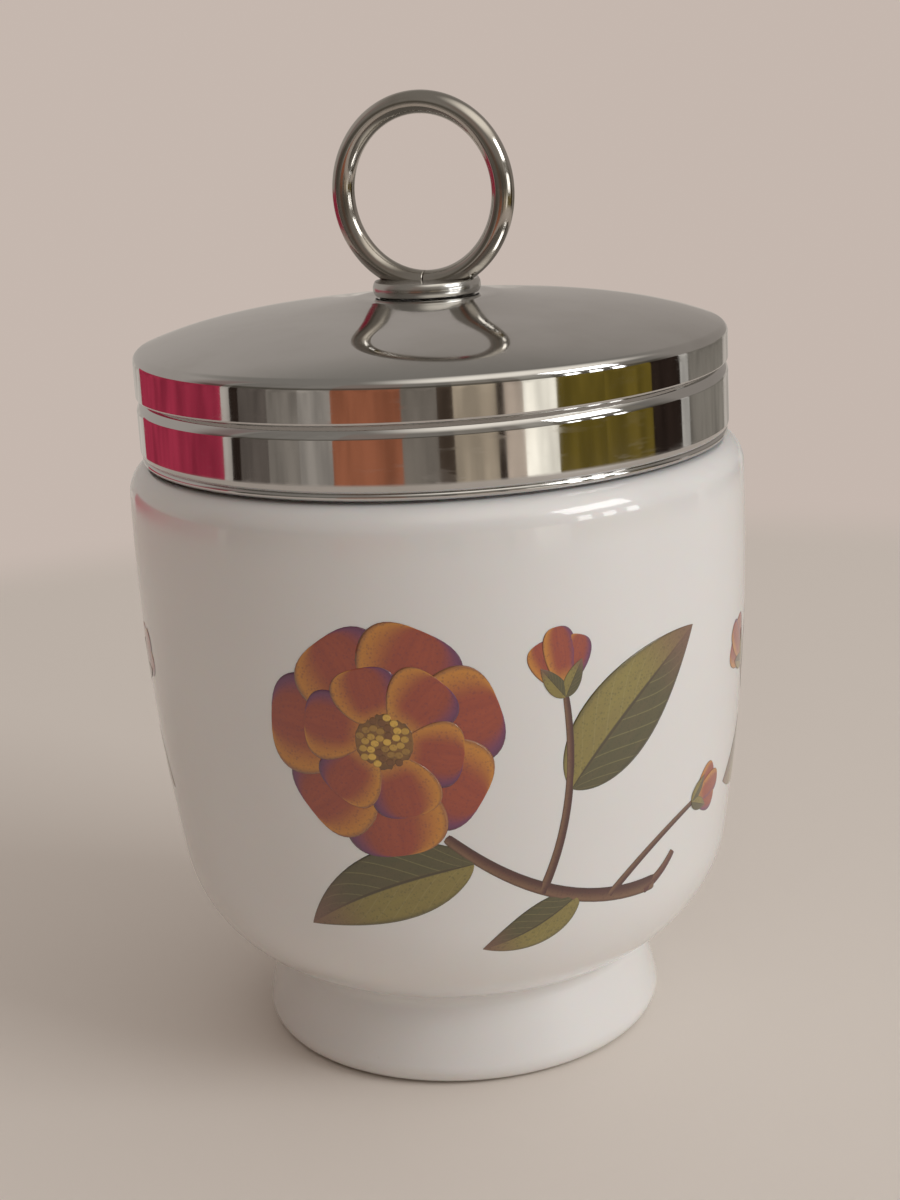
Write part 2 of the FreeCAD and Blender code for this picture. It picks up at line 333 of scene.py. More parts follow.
to_right = towards(90, 0)
side_light = blend_colour(tree, ramp(tree, to_right, -0.7, 0.9),
                          (0.08, 0.042, 0.028, 1), (0.46, 0.46, 0.46, 1))
soft_light = blend_colour(tree, ramp(tree, axes["Z"], 0.35, 1.0), side_light,
                          (0.66, 0.61, 0.57, 1))
back_wall = blend_colour(tree, ramp(tree, to_right, -0.6, 0.6),
                         (0.46, 0.42, 0.385, 1), (0.34, 0.305, 0.275, 1))
upper_wall = blend_colour(tree, ramp(tree, axes["Z"], 0.08, 0.3),
                          (0.10, 0.088, 0.07, 1), (0.27, 0.25, 0.225, 1))
bands = room_towards(tree, axes, times(tree, axes["Z"], folds_by_height))
near_wall = blend_colour(tree, 0.85, bands, upper_wall)
walls = blend_colour(tree, ramp(tree, towards(0, 0), -0.3, 0.0), back_wall, near_wall)
ceiling = blend_colour(tree, ramp(tree, towards(48, 42), 0.55, 0.93),
                       (0.27, 0.25, 0.225, 1), (1.3, 1.22, 1.1, 1))
room_light = blend_colour(tree, ramp(tree, axes["Z"], 0.5, 0.8), walls, ceiling)
rays = add(tree, "ShaderNodeLightPath").outputs
shiny = maths(tree, "MAXIMUM", rays["Is Glossy Ray"], rays["Is Transmission Ray"])
seen = layered(tree, soft_light, (shiny, room_light), (rays["Is Camera Ray"], wall_colour))
wire(tree, background, {"Color": seen, "Strength": 1.0})
print("world nodes", len(tree.nodes))

# %% Lamps
lamp_centre = Vector((0, 0, 50 * mm))


def soft_lamp(name, turn, rise, distance, width, height, power):
    """A rectangular lamp that faces the object from a turn and a rise."""
    lamp_data = bpy.data.lights.new(name, "AREA")
    lamp_data.shape = "RECTANGLE"
    lamp_data.size = width
    lamp_data.size_y = height
    lamp_data.energy = power
    lamp = bpy.data.objects.new(name, lamp_data)
    outward = aim(turn, rise)
    lamp.matrix_world = (Matrix.Translation(outward * distance + lamp_centre)
                         @ outward.to_track_quat("Z", "Y").to_matrix().to_4x4())
    scene.collection.objects.link(lamp)


soft_lamp("window", turn=62, rise=32, distance=1.6, width=0.75, height=0.5, power=7.0)
pane_turns = (52, 62, 72)
for index, turn in enumerate(pane_turns):
    soft_lamp(f"window_pane_{index}", turn, rise=4, distance=1.2, width=0.11, height=0.32,
              power=0.6)
print("window and", len(pane_turns), "panes")

# %% [markdown]
# All round pieces are turned: an outline in the plane through the axis is carried round it. The
# outlines are drawn as a potter's template would be, from lines and arcs that meet smoothly.
# Blender's Spin and Screw tools do the same to a drawn edge, but whole numpy arrays make it easy
# to press a helical groove into the result. A point of an outline is one complex number: its
# radius is the real part and its height the imaginary part, which makes turning about a centre a
# multiplication.

# %% Outline helpers
def polar(centre, radius, angle):
    """The point at an angle in degrees on a circle: centre plus radius times e to the i angle."""
    return centre + radius * np.exp(1j * np.radians(angle))


def arc(centre, radius, first, last, step=0.15):
    """Points along an arc between two angles, about a step in mm apart."""
    length = abs(math.radians(last - first)) * radius
    return polar(centre, radius, np.linspace(first, last, max(3, int(length / step) + 1)))


def run(start, end, step=0.8):
    """Points along a straight line, about a step in mm apart."""
    return np.linspace(start, end, max(2, int(abs(end - start) / step) + 1))


def bend(start, direction, end, step=0.15):
    """The arc that leaves its start along a direction and reaches its end.

    Its centre lies square to the direction, at the chord squared over twice the chord's part
    across the direction.
    """
    chord = end - start
    across = direction * 1j
    reach = abs(chord) ** 2 / (2 * (chord * np.conj(across)).real)
    centre = start + across * reach
    first = np.degrees(np.angle(start - centre))
    turn = np.degrees(np.angle((end - centre) / (start - centre)))
    return arc(centre, abs(reach), first, first + turn, step)


def s_bend(start, end, direction):
    """Two equal arcs that join parallel runs."""
    middle = (start + end) / 2
    return np.concatenate([bend(start, direction, middle), bend(end, -direction, middle)[::-1]])


def outline(*parts):
    """Join runs of points, leave out repeats, and put a pair of points close to each sharp corner.

    The pairs keep smooth shading from spreading over the flat faces beside a corner.
    """
    points = np.concatenate([np.atleast_1d(part) for part in parts])
    points = points[np.concatenate([[True], abs(np.diff(points)) > 1e-4])]
    before = points[1:-1] - points[:-2]
    after = points[2:] - points[1:-1]
    sharp = abs(np.angle(after / before)) > np.radians(25)
    places = np.nonzero(sharp)[0] + 1
    reach = np.minimum(0.04, np.minimum(abs(before), abs(after))[sharp] / 3)
    ahead = points[places] + after[sharp] / abs(after[sharp]) * reach
    behind = points[places] - before[sharp] / abs(before[sharp]) * reach
    return np.insert(points, np.concatenate([places, places + 1]), np.concatenate([behind, ahead]))


# %% [markdown]
# A mesh is put together from its points and its quads. The order of a quad's corners decides
# which side is the outside, so the helper measures the volume that the faces enclose and turns
# them round when it comes out negative.

# %% Mesh helpers
def grid_quads(rows, columns, close_rows=False, close_columns=True):
    """The quads between neighbours of a grid whose points are stored row by row."""
    row = np.arange(rows if close_rows else rows - 1)[:, None]
    column = np.arange(columns if close_columns else columns - 1)[None, :]
    below = row * columns
    above_row = (row + 1) % rows * columns
    beside = (column + 1) % columns
    corners = (below + column, below + beside, above_row + beside, above_row + column)
    return np.stack([corner.ravel() for corner in corners], axis=1)


def fan(loop, pole):
    """Triangles from each side of a closed loop of points to one point."""
    return np.stack([loop, np.roll(loop, -1), np.full_like(loop, pole)], axis=1)


def tube_faces(rows, columns):
    """A tube's quads, and the fans that close it at the two points that follow the grid's own."""
    count = rows * columns
    fans = [fan(np.arange(columns)[::-1], count), fan(np.arange(count - columns, count), count + 1)]
    return grid_quads(rows, columns), np.concatenate(fans)


def enclosed_volume(points, faces):
    """A sixth of the sum of the triple products of the corners of each face's triangles."""
    total = 0.0
    for corner in range(1, faces.shape[1] - 1):
        a, b, c = (points[faces[:, index]] for index in (0, corner, corner + 1))
        total += np.einsum("ij,ij->i", a, np.cross(b, c)).sum() / 6
    return total


def face_outward(points, quads, triangles):
    """The faces, turned round where the volume that they enclose comes out negative."""
    if enclosed_volume(points, quads) + enclosed_volume(points, triangles) < 0:
        return quads[:, ::-1], triangles[:, ::-1]
    return quads, triangles


def make_piece(name, points, quads, triangles, material, body, slot_name):
    """A smooth closed mesh in metres that rides on a body, from points in millimetres."""
    quads, triangles = face_outward(points, quads, triangles)
    corners = np.concatenate([quads.ravel(), triangles.ravel()])
    sizes = np.repeat([4, 3], [len(quads), len(triangles)])
    starts = np.cumsum(sizes) - sizes
    mesh = bpy.data.meshes.new(name)
    mesh.vertices.add(len(points))
    mesh.vertices.foreach_set("co", (points * mm).astype(np.float32).ravel())
    mesh.loops.add(len(corners))
    mesh.loops.foreach_set("vertex_index", corners.astype(np.int32))
    mesh.polygons.add(len(sizes))
    mesh.polygons.foreach_set("loop_start", starts.astype(np.int32))
    mesh.update(calc_edges=True)
    mesh.validate()
    mesh.shade_smooth()
    mesh.materials.append(material)
    piece = bpy.data.objects.new(name, mesh)
    scene.collection.objects.link(piece)
    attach(piece, body)
    print(name, "triangles", len(quads) * 2 + len(triangles))
    return piece


def from_axis(radius, angle, height):
    """Points at a radius and an angle about the axis and at a height, each a number or an array."""
    parts = np.broadcast_arrays(radius * np.cos(angle), radius * np.sin(angle), height)
    return np.stack(parts, axis=-1)


def turn_round(radius, height, columns):
    """Carry radii and heights round the axis. Both hold one value per row, or rows by columns."""
    angle = np.arange(columns) * 2 * np.pi / columns
    grid = from_axis(radius.reshape(len(radius), -1), angle, height.reshape(len(height), -1))
    return grid.reshape(-1, 3)


def turned_piece(name, radius, height, columns, material, body, slot_name, ring=False):
    """A turned piece. A ring's outline is a closed loop, any other starts and ends on the axis."""
    if ring:
        points = turn_round(radius, height, columns)
        quads = grid_quads(len(radius), columns, close_rows=True)
        triangles = np.empty((0, 3), int)
    else:
        poles = [[0, 0, np.mean(height[0])], [0, 0, np.mean(height[-1])]]
        points = np.concatenate([turn_round(radius[1:-1], height[1:-1], columns), poles])
        quads, triangles = tube_faces(len(radius) - 2, columns)
    return make_piece(name, points, quads, triangles, material, body, slot_name)


# %% [markdown]
# The lid holds by a screw thread of a little over one turn. The porcelain has a raised ridge on
# its neck, and the thin lid has a groove rolled into its skirt that shows outside as the line
# between two bands. Both follow one helix. A grid of level rows would cut across the groove and
# leave small steps in the reflections, so the rows of the mesh climb with the helix, and drop
# back to level at the back, where the groove has faded out.

# %% The helix
thread_lead = 2.1
thread_middle = -64.0
thread_fade = 24.0
groove_half_turn = 186.0
climb_half_turn = 160.0


def from_middle(columns):
    """The angle of each column from the thread's middle, in degrees from -180 to 180."""
    angle = np.arange(columns) * 360 / columns
    return (angle - thread_middle + 180) % 360 - 180


def smooth(share):
    """A share from 0 to 1 with a soft start and end: 3 t squared minus 2 t cubed."""
    share = np.clip(share, 0, 1)
    return share * share * (3 - 2 * share)


def climb(columns, height, low, full_low, full_high, high):
    """How far each point of a grid is lifted so that rows follow the helix between two heights."""
    angle = from_middle(columns)
    back = smooth((180 - abs(angle)) / (180 - climb_half_turn))
    rise = thread_lead * angle / 360 * back
    share = smooth((height - low) / (full_low - low)) * smooth((high - height) / (high - full_high))
    return share[:, None] * rise


def along_thread(height, columns, middle_z, half_turn, turn_offset, section, fade_shift):
    """The largest value of a thread section over the turns that pass each point.

    The section is a function of the height above the helix, and the fade shifts it down
    by its own square over the last degrees of the thread.
    """
    found = np.zeros_like(height)
    for turn in (-1, 0, 1):
        angle = from_middle(columns) + 360 * turn
        inside = half_turn - abs(angle - turn_offset)
        fade = np.clip(1 - inside / thread_fade, 0, None)
        above_helix = height - (middle_z + thread_lead * angle / 360)
        found = np.maximum(found, section(above_helix) - fade_shift * fade * fade)
    return found


# %% [markdown]
# The cup is cast porcelain, about three millimetres thick, glazed inside and out, with a bare
# ring under its foot where it stood in the kiln. Sculpting it would leave an uneven wall; here
# its outline follows the same arcs as the solid, from the recess under the foot, over the rim and
# down inside to the middle of the floor.

# %% Cup sizes
cup_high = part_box("cup")[1] / mm
body_radius = cup_high.x
rim_z = cup_high.z
foot_contact_radius = 18.55
foot_edge_radius = 1.9
foot_flare = 12.0
foot_waist_radius = 19.15
foot_cove_radius = 1.6
bowl_radius = 14.2
bowl_top_z = 20.1
wall_curve_radius = 214.0
shoulder_z = 60.0
widest_z = shoulder_z - 8.0
shoulder_radius = 2.8
neck_radius = 27.1
wall = 3.0
rim_edge_radius = 1.2
floor_thickness = 3.4
contact_width = 1.35
recess_corner_radius = 1.5
foot_inner_taper = 0.6
ridge_height = 0.9
ridge_crest = 0.2
ridge_root = 0.6
ridge_middle_z = 67.72
ridge_half_turn = 225.0
ridge_turn_offset = 35.0

wall_centre = body_radius - wall_curve_radius + 1j * widest_z
bowl_angle = math.degrees(math.asin((bowl_top_z - widest_z) / wall_curve_radius))
bowl_centre = polar(wall_centre, wall_curve_radius - bowl_radius, bowl_angle)
shoulder_rise = shoulder_z - shoulder_radius - widest_z
shoulder_angle = math.degrees(math.asin(shoulder_rise / (wall_curve_radius - shoulder_radius)))
shoulder_centre = polar(wall_centre, wall_curve_radius - shoulder_radius, shoulder_angle)
cove_reach = foot_waist_radius + foot_cove_radius
cove_drop = math.sqrt((bowl_radius + foot_cove_radius) ** 2 - (cove_reach - bowl_centre.real) ** 2)
cove_centre = cove_reach + 1j * (bowl_centre.imag - cove_drop)
cove_angle = math.degrees(math.atan2(-cove_drop, cove_reach - bowl_centre.real))
foot_centre = foot_contact_radius + 1j * foot_edge_radius
floor_z = bowl_centre.imag - bowl_radius + wall
print("bowl centre", np.round(bowl_centre, 2), "inside floor at", round(float(floor_z), 2))

# %% Cup outline
recess_z = floor_z - floor_thickness
inner_contact = foot_contact_radius - contact_width + 0j
recess_corner = (inner_contact.real - foot_inner_taper - recess_corner_radius
                 + 1j * (recess_z - recess_corner_radius))
mouth_radius = neck_radius - wall
rim_low = rim_z - rim_edge_radius
neck_bottom = mouth_radius + 1j * (shoulder_z + 0.1)
inner_wall_radius = wall_curve_radius - wall
inner_drop = math.degrees(math.asin((shoulder_z - 5.3 - widest_z) / inner_wall_radius))
inner_wall_top = polar(wall_centre, inner_wall_radius, inner_drop)
cup_line = outline(
    run(1j * recess_z, polar(recess_corner, recess_corner_radius, 90), 3.0),
    arc(recess_corner, recess_corner_radius, 90, 0),
    run(recess_corner + recess_corner_radius, inner_contact, 1.5),
    foot_contact_radius + 0j,
    arc(foot_centre, foot_edge_radius, -90, foot_flare),
    arc(cove_centre, foot_cove_radius, 180 + foot_flare, 180 + cove_angle),
    arc(bowl_centre, bowl_radius, cove_angle, bowl_angle, 0.6),
    arc(wall_centre, wall_curve_radius, bowl_angle, shoulder_angle, 0.9),
    arc(shoulder_centre, shoulder_radius, shoulder_angle, 90),
    neck_radius + 1j * shoulder_z,
    run(neck_radius + 1j * (shoulder_z + 0.2), neck_radius + 1j * rim_low, 0.1),
    arc(neck_radius - rim_edge_radius + 1j * rim_low, rim_edge_radius, 0, 90),
    arc(mouth_radius + rim_edge_radius + 1j * rim_low, rim_edge_radius, 90, 180),
    run(mouth_radius + 1j * rim_low, neck_bottom, 1.5),
    s_bend(neck_bottom, inner_wall_top, -1j)[::2],
    arc(wall_centre, inner_wall_radius, inner_drop, bowl_angle, 2.0),
    arc(bowl_centre, bowl_radius - wall, bowl_angle, -90, 0.8),
    run(bowl_centre.real + 1j * floor_z, 1j * floor_z, 2.0),
)


def slope_share(share, margin):
    """A slope's share of its full height. It is soft at both ends, but a margin keeps an edge."""
    return smooth(share * (1 - 2 * margin) + margin) * (share > 0)


def ridge_section(above_helix):
    """The ridge's height over the neck: full over its crest, and a straight slope to its root."""
    slope = (ridge_root - abs(above_helix)) / (ridge_root - ridge_crest)
    return ridge_height * slope_share(slope, 0.05)


print("cup outline points", len(cup_line))

# %% [markdown]
# Glazed porcelain is a dense white body under clear glass. The glass is a clear coat over a
# softer white base. Real glaze is never quite flat: it waves a little and holds a few pinholes. A
# texture photograph could carry this, but noise on the object's own coordinates has no seams. The
# foot's contact ring stays bare, matt and a shade darker.

# %% Porcelain finish
glaze, given, result = new_group("glaze_surface", {"Wave Scale": 130.0, "Speck Scale": 420.0},
                                 {"Height": "Float", "Specks": "Float", "Clouds": "Float"})
speck_threshold = 0.996
place = object_place(glaze)
waves = noise(glaze, place, given["Wave Scale"], 1.0)
ripple = noise(glaze, place, times(glaze, given["Wave Scale"], 5.0), 1.0)
cells = add(glaze, "ShaderNodeTexVoronoi", {"Vector": place, "Scale": given["Speck Scale"]}).outputs
random_red = add(glaze, "ShaderNodeSeparateColor", {0: cells["Color"]}).outputs[0]
rare = maths(glaze, "GREATER_THAN", random_red, speck_threshold)
speck = times(glaze, rare, ramp(glaze, cells["Distance"], 0.16, 0.05))
total = maths(glaze, "ADD", waves, times(glaze, ripple, 0.12))
wire(glaze, result, {"Height": maths(glaze, "SUBTRACT", total, times(glaze, speck, 0.15)),
                     "Specks": speck, "Clouds": noise(glaze, place, 45.0, 3.0)})

glaze_wave_height = 0.05 * mm
porcelain, tree, shader = new_material("glazed_porcelain")
surface = add(tree, "ShaderNodeGroup", node_tree=glaze).outputs
bare = ramp(tree, split(tree, object_place(tree))["Z"], 0.35 * mm, 0.12 * mm)
white = layered(tree, (0.80, 0.79, 0.775, 1),
                (surface["Clouds"], (0.845, 0.835, 0.82, 1)),
                (times(tree, surface["Specks"], 0.5), (0.30, 0.22, 0.16, 1)),
                (bare, (0.66, 0.62, 0.56, 1)))
wire(tree, shader, {
    "Base Color": white,
    "Roughness": ramp(tree, bare, 0.0, 1.0, 0.32, 0.8),
    "Coat Weight": maths(tree, "SUBTRACT", 1.0, bare),
    "Coat Roughness": 0.035,
    "Coat IOR": 1.52,
    "Subsurface Weight": 0.12,
    "Subsurface Scale": 1.5 * mm,
    "Normal": bump(tree, surface["Height"], glaze_wave_height),
})

# %% Cup mesh
cup_columns = 192
on_neck = (abs(cup_line.real - neck_radius) < 1e-6) & (cup_line.imag > shoulder_z + 0.1)
cup_height = cup_line.imag[:, None] + np.zeros(cup_columns)
ridge = along_thread(cup_height, cup_columns, ridge_middle_z, ridge_half_turn, ridge_turn_offset,
                     ridge_section, ridge_height + 0.05)
cup_radius = cup_line.real[:, None] + ridge * on_neck[:, None]
cup = turned_piece("cup_body", cup_radius, cup_height, cup_columns, porcelain, "cup", "porcelain")
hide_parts("cup")

# %% [markdown]
# The lid is pressed from one thin sheet: a small raised boss, a dome that is almost a cone and
# rounds off towards its edge, a skirt with the rolled groove, and a narrow hem. Solidify could
# give a surface its thickness, but the sheet's inside carries a bead of its own that runs on the
# cup's ridge, so the outline goes down the outside and back up the inside.

# %% Lid sizes
lid_low, lid_high = (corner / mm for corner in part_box("lid_shell"))
band_radius = lid_high.x
hem_z = lid_low.z
boss_top_z = lid_high.z
sheet = 0.45
recess_radius = 4.7
boss_inner_radius = 5.05
boss_outer_radius = 6.9
boss_lift = 0.16
dome_lift = 0.05
dome_foot_radius = 7.4
dome_flare = 0.09
dome_flare_reach = 4.7
dome_turn_radius = 12.5
dome_turn_power = 2.05
dome_edge_slope = 0.381
lid_corner_radius = 1.0
wall_top_below_rim = 0.8
wall_top_z = rim_z - wall_top_below_rim
hem_bead_height = 0.6
hem_bead_inset = 0.3
hem_corner_radius = 0.7
hem_bead_bulge = 0.15
hole_radius = 2.05
groove_depth = 0.7
groove_above_hem = 6.55
groove_middle_z = hem_z + groove_above_hem
groove_rows_above = 0.75
groove_rows_below = 1.65
groove_lip = 0.42
groove_shoulder = 1.4
groove_overrun = 0.03
groove_floor_width = 0.1
bead_upper_slope = 0.56
bead_lower_slope = 1.03
dome_rows = 72
dome_edge_angle = 90 - math.degrees(math.atan(dome_edge_slope))
corner_centre = band_radius - lid_corner_radius + 1j * wall_top_z
dome_edge = polar(corner_centre, lid_corner_radius, dome_edge_angle)
turn_width = dome_edge.real - dome_turn_radius


def flare_drop(radius):
    """How far the flare falls from a radius to the dome's edge: an exponential that dies away."""
    start, end = (np.exp((dome_foot_radius - way_out) / dome_flare_reach)
                  for way_out in (radius, dome_edge.real))
    return dome_flare * dome_flare_reach * (start - end)


def turn_drop(radius):
    """How far a rounding of unit edge slope falls: its slope grows as a power of the way out."""
    share = np.clip((radius - dome_turn_radius) / turn_width, 0, 1)
    return turn_width / (dome_turn_power + 1) * (1 - share ** (dome_turn_power + 1))


dome_fall = boss_top_z + dome_lift - dome_edge.imag
full_turn_drop = turn_drop(dome_foot_radius)
dome_cone = ((dome_fall - flare_drop(dome_foot_radius) - dome_edge_slope * full_turn_drop)
             / (dome_edge.real - dome_foot_radius - full_turn_drop))


def dome_z(radius):
    """The dome's height: a shallow cone, a flare round the boss, and a rounding near the edge."""
    return (dome_edge.imag + dome_cone * (dome_edge.real - radius) + flare_drop(radius)
            + (dome_edge_slope - dome_cone) * turn_drop(radius))


def lid_face(inset, coarse=1):
    """One face of the sheet, from the centre hole out to the hem, at a depth into the sheet."""
    corner = lid_corner_radius - inset
    recess = recess_radius + 1j * (boss_top_z - inset)
    boss = boss_inner_radius + 1j * (boss_top_z + boss_lift - inset)
    radius = np.linspace(dome_foot_radius, dome_edge.real, dome_rows // coarse)
    slope = np.gradient(dome_z(radius), radius)
    dome = radius + 1j * dome_z(radius) - inset * 1j * (1 + 1j * slope) / abs(1 + 1j * slope)
    side = band_radius - inset
    bead = band_radius - hem_bead_inset
    hem_corner = hem_z + hem_bead_height
    hem_start = side + 1j * (hem_corner + hem_corner_radius)
    hem_neck = bead - inset + 1j * hem_corner
    fine_top = side + 1j * (groove_middle_z + groove_rows_above)
    fine_foot = side + 1j * (groove_middle_z - groove_rows_below)
    upper_rows = run(side + 1j * wall_top_z, fine_top, 0.28)
    fine_rows = run(upper_rows[-1], fine_foot, 0.05 * coarse)
    rest = run(fine_rows[-1], hem_start, 0.3)
    hem = run(hem_neck, bead - inset + 1j * hem_z, 0.2)
    if not inset:
        half_bead = hem_bead_height / 2
        reach = (half_bead ** 2 + hem_bead_bulge ** 2) / (2 * hem_bead_bulge)
        opening = math.degrees(math.asin(half_bead / reach))
        centre = bead + hem_bead_bulge - reach + 1j * (hem_z + half_bead)
        hem = arc(centre, reach, opening, -opening, 0.06)
    return outline(
        run(hole_radius + 1j * recess.imag, recess, 0.8),
        s_bend(recess, boss, 1 + 0j),
        boss_outer_radius + 1j * boss.imag,
        dome,
        arc(corner_centre, corner, dome_edge_angle, 0, 0.06),
        upper_rows,
        fine_rows,
        rest,
        bend(hem_start, -1j, hem_neck, 0.07),
        hem,
    )


outside = lid_face(0.0)
inside = lid_face(sheet, coarse=2)
lid_line = outline(outside, inside[::-1])
print("lid outline points", len(lid_line), "cone slope", round(float(dome_cone), 3))

# %% Groove and bead sections
shoulder_reach = ((groove_depth + groove_overrun) ** 2 + groove_shoulder ** 2) / (
    2 * (groove_depth + groove_overrun))


def groove_section(above_helix):
    """How deep the groove is pressed in: a long round shoulder below, a small round lip above."""
    below = np.clip(above_helix + groove_shoulder, 0, groove_shoulder)
    shoulder = shoulder_reach - np.sqrt(shoulder_reach ** 2 - below ** 2) - groove_overrun
    over = np.clip(groove_lip - above_helix, 0, groove_lip)
    lip = groove_lip - np.sqrt(groove_lip ** 2 - over ** 2) - groove_overrun
    floor_edge = smooth(-above_helix / groove_floor_width + 0.5)
    lip = lip + floor_edge * (groove_depth - groove_lip + groove_overrun)
    return np.where(above_helix < 0, shoulder, lip)


def bead_section(above_helix):
    """How far the bead stands into the lid: a narrow crest with a short and a long slope."""
    crest = groove_lip / 2
    upper = 1 - (above_helix - crest) / bead_upper_slope
    lower = 1 + (above_helix + crest) / bead_lower_slope
    return groove_depth * slope_share(np.minimum(upper, lower), 0.02)


# %% [markdown]
# Polished chrome is a mirror with a history: faint smudges where it was held, hair-fine scratches
# from cloths, and very slight waves from the press. Painting these marks would fix them to one
# view; a node group makes them from noise instead, and every metal piece takes its own strength
# of them. The inside of the lid was never polished, so an attribute on the mesh makes it satin.

# %% Metal finish
wear = ("Base Roughness", "Smudges", "Scratches", "Stretch")
marks, given, result = new_group("metal_marks", dict(zip(wear, (0.06, 0.05, 0.03, 1.0))),
                                 {"Roughness": "Float", "Height": "Float", "Tarnish": "Float"})
place = object_place(marks)
smear = ramp(marks, noise(marks, place, 75.0, 4.0, 0.6), 0.42, 0.72)
lines_place = vector_maths(marks, "MULTIPLY", place,
                           join(marks, given["Stretch"], given["Stretch"], 1.0))
hair = ramp(marks, noise(marks, lines_place, 900.0, 3.0, 0.7), 0.56, 0.66)
rough = maths(marks, "ADD", given["Base Roughness"], times(marks, smear, given["Smudges"]))
wire(marks, result, {
    "Roughness": maths(marks, "ADD", rough, times(marks, hair, given["Scratches"])),
    "Height": maths(marks, "ADD", noise(marks, place, 110.0, 0.0), times(marks, hair, 0.02)),
    "Tarnish": smear,
})
satin_roughness = 0.22
satin_colour = (0.62, 0.61, 0.59, 1)


def metal(name, colour, dull, amounts, wave_height, lining=False):
    """A metal with amounts of wear of its own. A lining adds satin where the attribute says so."""
    material, tree, shader = new_material(name)
    worn = add(tree, "ShaderNodeGroup", dict(zip(wear, amounts)), node_tree=marks).outputs
    tint = blend_colour(tree, worn["Tarnish"], colour, dull)
    rough = worn["Roughness"]
    if lining:
        within = add(tree, "ShaderNodeAttribute", attribute_name="lining").outputs["Fac"]
        rough = maths(tree, "ADD", rough, times(tree, within, satin_roughness))
        tint = blend_colour(tree, within, tint, satin_colour)
    wire(tree, shader, {"Metallic": 1.0, "Base Color": tint, "Roughness": rough,
                        "Normal": bump(tree, worn["Height"], wave_height)})
    return material


lid_chrome = metal("polished_chrome", (0.58, 0.575, 0.565, 1), (0.53, 0.52, 0.505, 1),
                   (0.045, 0.05, 0.04, 0.2), 0.012 * mm, lining=True)

# %% Lid mesh
lid_columns = 256
above_hem = 0.6
climb_levels = (hem_z + 1.6, groove_middle_z - 1.5, groove_middle_z + 0.6, wall_top_z - 0.1)
fade_shift = groove_depth + 0.07
on_skirt = (lid_line.imag < wall_top_z) & (lid_line.imag > hem_z + hem_bead_height + above_hem)
outer = on_skirt & (abs(lid_line.real - band_radius) < 1e-3)
inner = on_skirt & (abs(lid_line.real - band_radius + sheet) < 1e-3)
lift = climb(lid_columns, lid_line.imag, *climb_levels)
lid_height = lid_line.imag[:, None] + lift * on_skirt[:, None]
pressed, beaded = (along_thread(lid_height, lid_columns, groove_middle_z, groove_half_turn, 0.0,
                                section, fade_shift) for section in (groove_section, bead_section))
lid_radius = lid_line.real[:, None] - pressed * outer[:, None] - beaded * inner[:, None]
lid = turned_piece("lid_pressing", lid_radius, lid_height, lid_columns, lid_chrome, "lid",
                   "lid_chrome", ring=True)
hem_row = np.argmin(abs(lid_line - inside[-1]))
within = np.repeat(np.arange(len(lid_line)) >= hem_row, lid_columns).astype(np.float32)
lid.data.attributes.new("lining", "FLOAT", "POINT").data.foreach_set("value", within)
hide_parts("lid_shell")

# %% [markdown]
# The finger ring is one length of round wire, bent until its ends meet in the stud. A torus would
# do, but it has no ends. Here a small circle is carried round a large one from one end to the
# other, with flat caps a hair apart, and the last rows pulled in to break the edge.

# %% Finger ring
ring_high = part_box("lifting_ring")[1] / mm
wire_radius = ring_high.y
ring_radius = ring_high.x - wire_radius
ring_centre_z = ring_high.z - ring_high.x
ring_split = 0.12
wire_break = 0.1
ring_sides = 40
ring_rows = 260

ring_chrome = metal("drawn_wire_chrome", (0.49, 0.465, 0.43, 1), (0.36, 0.33, 0.29, 1),
                    (0.10, 0.10, 0.06, 0.6), 0.02 * mm)
half_split = math.asin(ring_split / 2 / ring_radius)
break_angle = wire_break / ring_radius
way = np.linspace(half_split, 2 * np.pi - half_split, ring_rows)
extra = np.array([break_angle / 2, break_angle])
way = np.sort(np.concatenate([way, way[0] + extra, way[-1] - extra]))
from_end = np.minimum(way - way[0], way[-1] - way) * ring_radius
to_break = np.clip(wire_break - from_end, 0, None)
shrink = wire_break - np.sqrt(np.clip(wire_break ** 2 - to_break ** 2, 0, None))
tube = (wire_radius - shrink)[:, None]
side = np.arange(ring_sides) * 2 * np.pi / ring_sides
reach = ring_radius + tube * np.cos(side)
ring_points = np.stack([reach * np.sin(way)[:, None],
                        tube * np.sin(side) + 0 * reach,
                        ring_centre_z - reach * np.cos(way)[:, None]], axis=2)
ends = np.stack([ring_radius * np.sin(way[[0, -1]]), [0, 0],
                 ring_centre_z - ring_radius * np.cos(way[[0, -1]])], axis=1)
ring = make_piece("finger_ring", np.concatenate([ring_points.reshape(-1, 3), ends]),
                  *tube_faces(len(way), ring_sides), ring_chrome, "lid", "ring_chrome")
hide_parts("lifting_ring")

# %% [markdown]
# The stud is turned from bar: a collar with a saddle milled across it for the ring, a foot that
# sits on the boss, a shank through the lid, and a head spread over the washer inside. A boolean
# cut leaves untidy faces along the saddle, so the top is a grid whose rows run along it and whose
# heights are the lower of the collar's top and the ring's own underside.

# %% Ring stud
stud_low, stud_high = (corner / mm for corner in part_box("ring_stud"))
collar_radius = stud_high.x
collar_top_z = stud_high.z
collar_height = 1.34
collar_edge = 0.22
stud_foot_radius = 4.6
shank_radius = 2.0
head_radius = 3.3
head_height = 1.1
saddle_gap = 0.02
saddle_edge = 0.03
saddle_margin = 0.1
collar_low_z = collar_top_z - collar_height
head_top_z = stud_low.z + head_height

